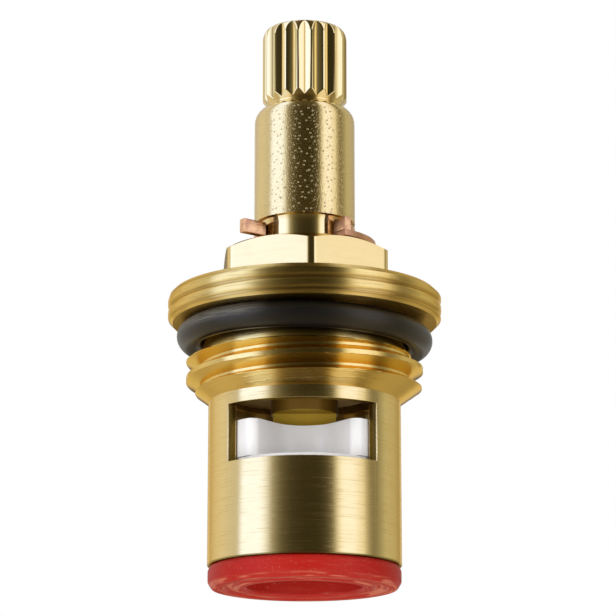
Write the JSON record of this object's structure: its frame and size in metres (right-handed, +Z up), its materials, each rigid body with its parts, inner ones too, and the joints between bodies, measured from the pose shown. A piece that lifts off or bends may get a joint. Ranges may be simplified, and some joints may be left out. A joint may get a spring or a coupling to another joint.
{
  "type": "ceramic disc tap cartridge",
  "caption": "Quarter-turn ceramic disc tap cartridge: splined spindle in a hexagonal brass body with windowed barrel, butterfly disc pair and rubber seat seal.",
  "frame": {"origin": "centre of the inlet seal's bottom face, on the spindle axis", "axes": "+Z up the spindle axis towards the splined head; -Y towards the outlet window that the picture shows; +X to its right"},
  "size_m": [0.0242, 0.0242, 0.0509],
  "materials": {
    "turned_brass_body": "bright turned brass with fine circumferential tool marks",
    "turned_brass_spindle": "bright turned brass, finely pitted on the stem, polished in the neck",
    "copper_clip": "stamped copper alloy strip, satin",
    "copper_washer": "copper alloy sheet, satin and slightly tarnished",
    "white_plastic": "natural acetal, smooth",
    "black_rubber": "black nitrile rubber, satin",
    "white_ceramic": "lapped white alumina",
    "red_rubber": "red rubber, matte with light scuffs"
  },
  "bodies": {
    "housing": {"body": "turned_brass_body", "slip_washer": "copper_washer", "friction_washer": "white_plastic", "body_o_ring": "black_rubber", "fixed_disc": "white_ceramic", "inlet_seal": "red_rubber", "seal_support_ring": "white_plastic"},
    "rotor": {"spindle": "turned_brass_spindle", "retaining_clip": "copper_clip", "spindle_o_ring_upper": "black_rubber", "spindle_o_ring_lower": "black_rubber", "moving_disc": "white_ceramic"}
  },
  "joints": [
    {"name": "quarter_turn", "type": "hinge", "parent": "housing", "child": "rotor", "pos_m": [0, 0, 0.02505], "axis": [0, 0, 1], "range_deg": [-90, 0]}
  ]
}
